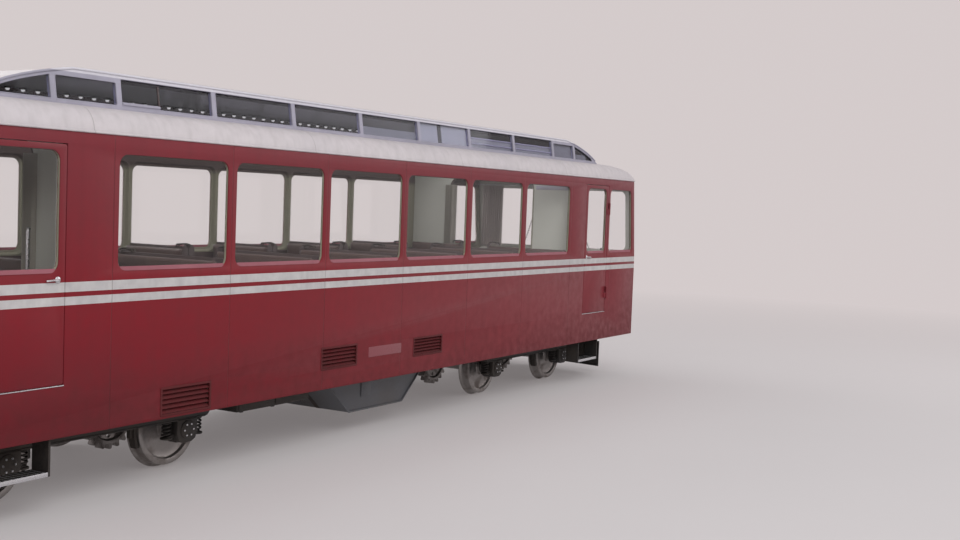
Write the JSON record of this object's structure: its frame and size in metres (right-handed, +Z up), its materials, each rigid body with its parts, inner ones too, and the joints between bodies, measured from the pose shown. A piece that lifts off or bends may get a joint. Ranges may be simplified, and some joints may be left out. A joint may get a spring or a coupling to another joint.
{
  "type": "cog railway car",
  "caption": "Single rack railcar on two bogies with cog wheels: red body, roof windows, a cab and hinged doors at each end.",
  "frame": {"origin": "midway between the ends and the sides, at the height of the lowest points of the wheel flanges", "axes": "+X along the car towards its front end, +Y to the left-hand side, +Z up; the side at -Y is the one in the picture"},
  "size_m": [13.73, 2.964, 3.671],
  "materials": {
    "red_paint": "semi-gloss red enamel",
    "white_paint": "weathered white enamel",
    "glass": "lightly tinted",
    "lining": "grey-green laminate",
    "floor_covering": "ribbed dark covering",
    "seat_leather": "dark brown padded covering",
    "dark_steel": "dark grey, dusty",
    "wheel_steel": "machined and rusty",
    "tank_grey": "blue-grey enamel"
  },
  "bodies": {
    "car": {"underframe": "dark_steel", "floor": "floor_covering", "roof_base": "white_paint", "roof_clerestory": "white_paint", "clerestory_frame_right": "white_paint", "clerestory_frame_left": "white_paint", "side_right": "red_paint", "glass_right": "glass", "clerestory_glass_right": "glass", "seats_right": "seat_leather", "cab_glass_right_front": "glass", "cab_glass_right_rear": "glass", "side_left": "red_paint", "glass_left": "glass", "clerestory_glass_left": "glass", "seats_left": "seat_leather", "cab_glass_left_front": "glass", "cab_glass_left_rear": "glass", "end_front": "red_paint", "windshield_front": "glass", "bulkhead_front": "lining", "desk_front": "lining", "driver_seat_front": "seat_leather", "coupler_front": "dark_steel", "rail_guard_front": "dark_steel", "end_rear": "red_paint", "windshield_rear": "glass", "bulkhead_rear": "lining", "desk_rear": "lining", "driver_seat_rear": "seat_leather", "coupler_rear": "dark_steel", "rail_guard_rear": "dark_steel", "fuel_tank": "tank_grey", "engine": "dark_steel", "battery_box": "dark_steel"},
    "bogie_front": {"bogie_front": "dark_steel"},
    "wheelset_front_inner": {"wheelset_front_inner": "wheel_steel"},
    "wheelset_front_outer": {"wheelset_front_outer": "wheel_steel"},
    "door_right_front": {"door_right_front": "red_paint", "door_glass_right_front": "glass"},
    "door_left_front": {"door_left_front": "red_paint", "door_glass_left_front": "glass"},
    "bogie_rear": {"bogie_rear": "dark_steel"},
    "wheelset_rear_inner": {"wheelset_rear_inner": "wheel_steel"},
    "wheelset_rear_outer": {"wheelset_rear_outer": "wheel_steel"},
    "door_right_rear": {"door_right_rear": "red_paint", "door_glass_right_rear": "glass"},
    "door_left_rear": {"door_left_rear": "red_paint", "door_glass_left_rear": "glass"}
  },
  "joints": [
    {"name": "bogie_front_swivel", "type": "hinge", "parent": "car", "child": "bogie_front", "pos_m": [3.95, 0, 0.86], "axis": [0, 0, 1], "range_deg": [-4, 4]},
    {"name": "wheelset_front_inner_spin", "type": "hinge", "parent": "bogie_front", "child": "wheelset_front_inner", "pos_m": [2.95, 0, 0.4], "axis": [0, 1, 0], "continuous": true},
    {"name": "wheelset_front_outer_spin", "type": "hinge", "parent": "bogie_front", "child": "wheelset_front_outer", "pos_m": [4.95, 0, 0.4], "axis": [0, 1, 0], "continuous": true},
    {"name": "bogie_rear_swivel", "type": "hinge", "parent": "car", "child": "bogie_rear", "pos_m": [-3.95, 0, 0.86], "axis": [0, 0, 1], "range_deg": [-4, 4]},
    {"name": "wheelset_rear_inner_spin", "type": "hinge", "parent": "bogie_rear", "child": "wheelset_rear_inner", "pos_m": [-2.95, 0, 0.4], "axis": [0, 1, 0], "continuous": true},
    {"name": "wheelset_rear_outer_spin", "type": "hinge", "parent": "bogie_rear", "child": "wheelset_rear_outer", "pos_m": [-4.95, 0, 0.4], "axis": [0, 1, 0], "continuous": true},
    {"name": "door_right_front_hinge", "type": "hinge", "parent": "car", "child": "door_right_front", "pos_m": [5.52, -1.468, 1.0663], "axis": [0, 0, 1], "range_deg": [0, 95]},
    {"name": "door_right_rear_hinge", "type": "hinge", "parent": "car", "child": "door_right_rear", "pos_m": [-5.52, -1.468, 1.0663], "axis": [0, 0, -1], "range_deg": [0, 95]},
    {"name": "door_left_front_hinge", "type": "hinge", "parent": "car", "child": "door_left_front", "pos_m": [5.52, 1.468, 1.0663], "axis": [0, 0, -1], "range_deg": [0, 95]},
    {"name": "door_left_rear_hinge", "type": "hinge", "parent": "car", "child": "door_left_rear", "pos_m": [-5.52, 1.468, 1.0663], "axis": [0, 0, 1], "range_deg": [0, 95]}
  ]
}
